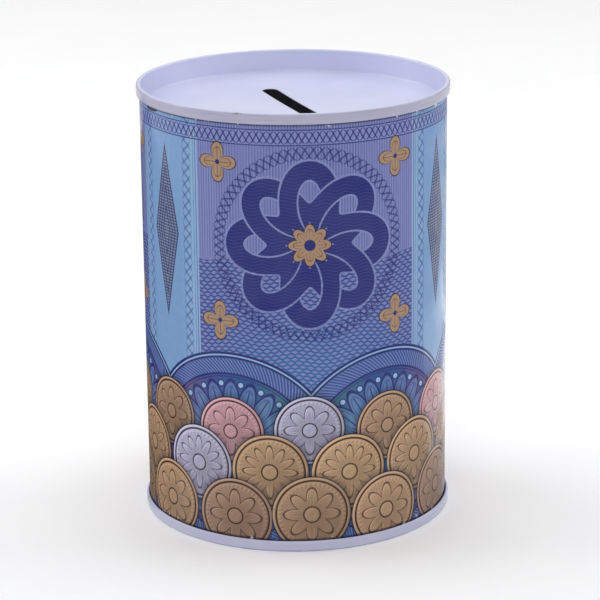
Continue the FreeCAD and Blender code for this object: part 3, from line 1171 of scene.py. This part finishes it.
def work_with(piece, tree, values):
    """Add a tree to a piece as a modifier, with values for its named inputs."""
    modifier = piece.modifiers.new(tree.name, "NODES")
    modifier.node_group = tree
    for item in tree.interface.items_tree:
        if item.in_out == "INPUT" and item.name in values:
            modifier[item.identifier] = values[item.name]


print("sheets are rolled in", STEPS_AROUND, "steps")

# %% [markdown]
# ### The slot
#
# The coin slot is punched while the lid is still open. A bar with round ends is drawn and cut out of the
# rolled lid, so the slot's edge has the sheet's real gauge.

# %% Punch the slot
SLOT_END_STEPS = 12
ROUND_END = 0.499
PUNCH_REACH = 1 * MM


def bar(net, width, height, rounding, steps, ends):
    """A bar with rounded corners that runs from one point to another."""
    outline = net.add("GeometryNodeCurvePrimitiveQuadrilateral", {"Width": width, "Height": height})
    rounded = net.add("GeometryNodeFilletCurve", {"Curve": outline, "Count": steps, "Limit Radius": True,
                                                  "Radius": rounding}, mode="POLY")
    path = net.add("GeometryNodeCurvePrimitiveLine", {"Start": ends[0], "End": ends[1]})
    return net.add("GeometryNodeCurveToMesh", {"Curve": path, "Profile Curve": rounded, "Fill Caps": True})


def punch_tree():
    """Geometry nodes that punch a round-ended slot, along Y, through a sheet that lies flat at a height."""
    net, given = start_tree("punched slot", "GeometryNodeTree", {
        "Sheet": "Geometry", "Slot Length": "Float", "Slot Width": "Float", "Height": "Float",
        "Finish": "Material"}, {"Punched": "Geometry"})
    ends = [net.point(Z=given["Height"] + rise) for rise in (-PUNCH_REACH, PUNCH_REACH)]
    punch = bar(net, given["Slot Width"], given["Slot Length"], given["Slot Width"] * ROUND_END,
                SLOT_END_STEPS, ends)
    coated = net.add("GeometryNodeSetMaterial", {"Geometry": punch, "Material": given["Finish"]})
    cut = net.add("GeometryNodeMeshBoolean", {"Mesh 1": given["Sheet"], "Mesh 2": coated},
                  operation="DIFFERENCE", solver="EXACT")
    return end_tree(net, cut, given["Finish"])


punched_slot = punch_tree()

# %% [markdown]
# ### The weld
#
# The edges of the body's sheet overlap a little at the back and are welded together there. The lap is
# pressed nearly flat, so only a low ridge is left of it, from seam to seam. It is drawn as a bar along a
# line and joined to the rolled sheet, with the sheet's own places so that it stays bare like the margin.

# %% Weld the lap
WELD_WIDTH = 0.8 * MM
WELD_HEIGHT = 0.06 * MM
WELD_END_GAP = 0.2 * MM
RIDGE_CORNER_STEPS = 3
RIDGE_CORNER = 0.9
RIDGE_BAKED_AT = (0.001, 0.25)


def weld_tree():
    """Geometry nodes that lay a low ridge on a tube, straight up its +Y side."""
    net, given = start_tree("welded lap", "GeometryNodeTree", {
        "Sheet": "Geometry", "Ridge Width": "Float", "Ridge Height": "Float", "Wall Radius": "Float",
        "Foot": "Float", "Top": "Float", "Sheet Start": "Float", "Finish": "Material"},
        {"Welded": "Geometry"})
    ends = [net.point(Y=given["Wall Radius"], Z=given[end]) for end in ("Foot", "Top")]
    ridge = bar(net, given["Ridge Height"] * 2.0, given["Ridge Width"], given["Ridge Height"] * RIDGE_CORNER,
                RIDGE_CORNER_STEPS, ends)
    height = net.parts(net.add("GeometryNodeInputPosition"))[2]
    printed = net.point(X=given["Sheet Start"], Y=height / MM)
    baked = net.point(X=RIDGE_BAKED_AT[0], Y=height / (2 * tin_height) + RIDGE_BAKED_AT[1])
    ridge = keep_places(net, ridge, printed, baked)
    joined = net.add("GeometryNodeJoinGeometry", {"Geometry": given["Sheet"]})
    net.feed(joined.socket.node, {"Geometry": ridge})
    return end_tree(net, joined, given["Finish"])


welded_lap = weld_tree()

# %% [markdown]
# ### The three pieces
#
# Now the pieces are made: the body is rolled and welded, the lid rolled and punched, the base rolled. The
# body keeps its own map for the baked picture. The ends lose theirs, because a disc that is unrolled into a
# strip has faces without width in its middle. Each piece takes the place of the imported node it was drawn
# from.

# %% Roll, weld and punch
def roll(name, section, finish):
    """One piece of the tin, rolled from its section."""
    piece = bpy.data.objects.new(name, bpy.data.meshes.new(name))
    work_with(piece, rolled_sheet, {
        "Section": section, "Section Points": len(section.data.vertices), "Steps Around": STEPS_AROUND,
        "Edge Angle": LAP_ANGLE, "Sheet Start": sheet_start, "Sheet Width": sheet_width, "Finish": finish})
    return piece


body = roll("printed_body", sections["body"], print_finish)
lid = roll("slotted_lid", sections["lid"], lacquer_finish)
base = roll("closed_base", sections["base"], lacquer_finish)
weld_foot = SEAM_DEPTH + WELD_END_GAP
work_with(body, welded_lap, {"Ridge Width": WELD_WIDTH, "Ridge Height": WELD_HEIGHT,
                             "Wall Radius": body_radius, "Foot": weld_foot, "Top": tin_height - weld_foot,
                             "Sheet Start": sheet_start, "Finish": print_finish})
work_with(lid, punched_slot, {"Slot Length": SLOT_LENGTH, "Slot Width": SLOT_WIDTH,
                              "Height": tin_height - lid_recess - LID_SINK, "Finish": lacquer_finish})
for piece in (body, lid, base):
    settle(piece)
for piece in (lid, base):
    piece.data.uv_layers.remove(piece.data.uv_layers["OFBake"])
for piece, node, slot in ((body, "body", "printed_tin"), (lid, "lid", "end_lacquer"),
                          (base, "base", "end_lacquer")):
    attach(piece, "root")
    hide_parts(node)
    print(piece.name, len(piece.data.polygons), "faces,", piece.data.materials[0].name)

# %% [markdown]
# ## Floor and light
#
# The tin stands on a plain pale floor, as in a catalogue picture. One softbox overhead and one behind light
# the lid, one on each side and one beside the camera light the print, and one far back only whitens the
# floor there. A low, wide one stands for the pale backdrop that the near half of the lid's panel mirrors.
# A dim white world softens what is left.

# %% Floor
FLOOR_SIZE = 8.0
FLOOR_GREY = ink(246, 246, 247)
FLOOR_WHITE = ink(250, 250, 250)


def add_stage_sheet(name, corners, material):
    """A flat sheet that belongs to the studio and not to the tin."""
    mesh = bpy.data.meshes.new(name)
    mesh.from_pydata(corners, [], [(0, 1, 2, 3)])
    mesh.materials.append(material)
    sheet = bpy.data.objects.new(name, mesh)
    scene.collection.objects.link(sheet)
    return sheet


def add_floor():
    half = FLOOR_SIZE / 2
    corners = [(-half, -half, 0), (half, -half, 0), (half, half, 0), (-half, half, 0)]
    net = Finish("floor")
    grain = net.noise(30.0, 4.0)
    material = net.dress({"Base Color": net.mix(grain, FLOOR_GREY, FLOOR_WHITE),
                          "Roughness": grain * 0.1 + 0.7, "Specular IOR Level": 0.0})
    add_stage_sheet("floor", corners, material)


add_floor()
print("floor", FLOOR_SIZE, "m wide")

# %% Softboxes
TIN_MIDDLE = (0.0, 0.0, tin_height / 2)


def add_softbox(name, place, width, height, power, aim=TIN_MIDDLE):
    """An area light that faces the middle of the tin, or another place."""
    data = bpy.data.lights.new(name, "AREA")
    data.shape = "RECTANGLE"
    data.size = width
    data.size_y = height
    data.energy = power
    light = bpy.data.objects.new(name, data)
    light.location = in_studio(*place)
    light.rotation_euler = (in_studio(*aim) - light.location).to_track_quat("-Z", "Y").to_euler()
    light.visible_camera = False
    scene.collection.objects.link(light)
    return light


add_softbox("overhead", (0.0, 0.05, 1.15), 0.6, 0.6, 3.4)
add_softbox("behind", (0.0, 1.0, 1.0), 1.0, 1.0, 2.5)
add_softbox("left", (-1.0, 0.3, 0.7), 0.9, 0.9, 6.8)
add_softbox("right", (1.0, 0.3, 0.7), 0.9, 0.9, 5.8)
add_softbox("front", (0.0, -1.2, 0.6), 0.9, 0.9, 6.2)
far_floor = add_softbox("far_floor", (0.0, 2.4, 1.0), 2.4, 1.2, 12.0, aim=(0.0, 2.4, 0.0))
far_floor.visible_glossy = False
backdrop = add_softbox("backdrop", (0.0, 1.2, 0.38), 1.4, 0.18, 0.36)
backdrop.visible_diffuse = False
print("softboxes:", [light.name for light in bpy.data.lights])

# %% [markdown]
# ### Cards at the edges
#
# Where the varnished wall turns away from the camera it mirrors the floor, and both edges of the tin would
# look equally pale. A photographer lays cards beside a shiny thing to choose what it mirrors. Here a black
# one keeps the left edge deep, and a bright one draws a pale stripe down the right edge. They lie flat,
# because a wall that is seen from above mirrors what lies on the floor. Only reflections show them: they
# aren't seen, and they neither light nor shade anything.

# %% Cards at the edges
CARD_LIFT = 2 * MM
CARD_BLACK = (0.01, 0.01, 0.01, 1.0)
BLACK_CARD = ((-0.40, -0.02), (-0.04, 0.42))
BRIGHT_CARD = (0.12, 0.1)
BRIGHT_CARD_SIZE = 0.15


def add_black_card(near_left, far_right):
    """A black card, given by two of its corners as the camera sees them, to the right and away."""
    left, near = near_left
    right, far = far_right
    places = [(left, near), (right, near), (right, far), (left, far)]
    corners = [in_studio(*place, CARD_LIFT) for place in places]
    card = add_stage_sheet("black_card", corners, Finish("black card").dress({"Base Color": CARD_BLACK}))
    card.visible_camera = False
    card.visible_diffuse = False
    card.visible_shadow = False


add_black_card(*BLACK_CARD)
bright_card = add_softbox("bright_card", (*BRIGHT_CARD, CARD_LIFT), BRIGHT_CARD_SIZE, BRIGHT_CARD_SIZE, 0.07,
                          aim=(*BRIGHT_CARD, 1.0))
bright_card.visible_diffuse = False
print("cards lie", CARD_LIFT / MM, "mm above the floor")

# %% World
WORLD_WHITE = (1.0, 1.0, 1.0, 1.0)
WORLD_STRENGTH = 0.25
world = bpy.data.worlds.new("studio")
world.use_nodes = True
background = world.node_tree.nodes["Background"]
background.inputs["Color"].default_value = WORLD_WHITE
background.inputs["Strength"].default_value = WORLD_STRENGTH
scene.world = world
scene.view_settings.view_transform = "Standard"
print("world", world.name)
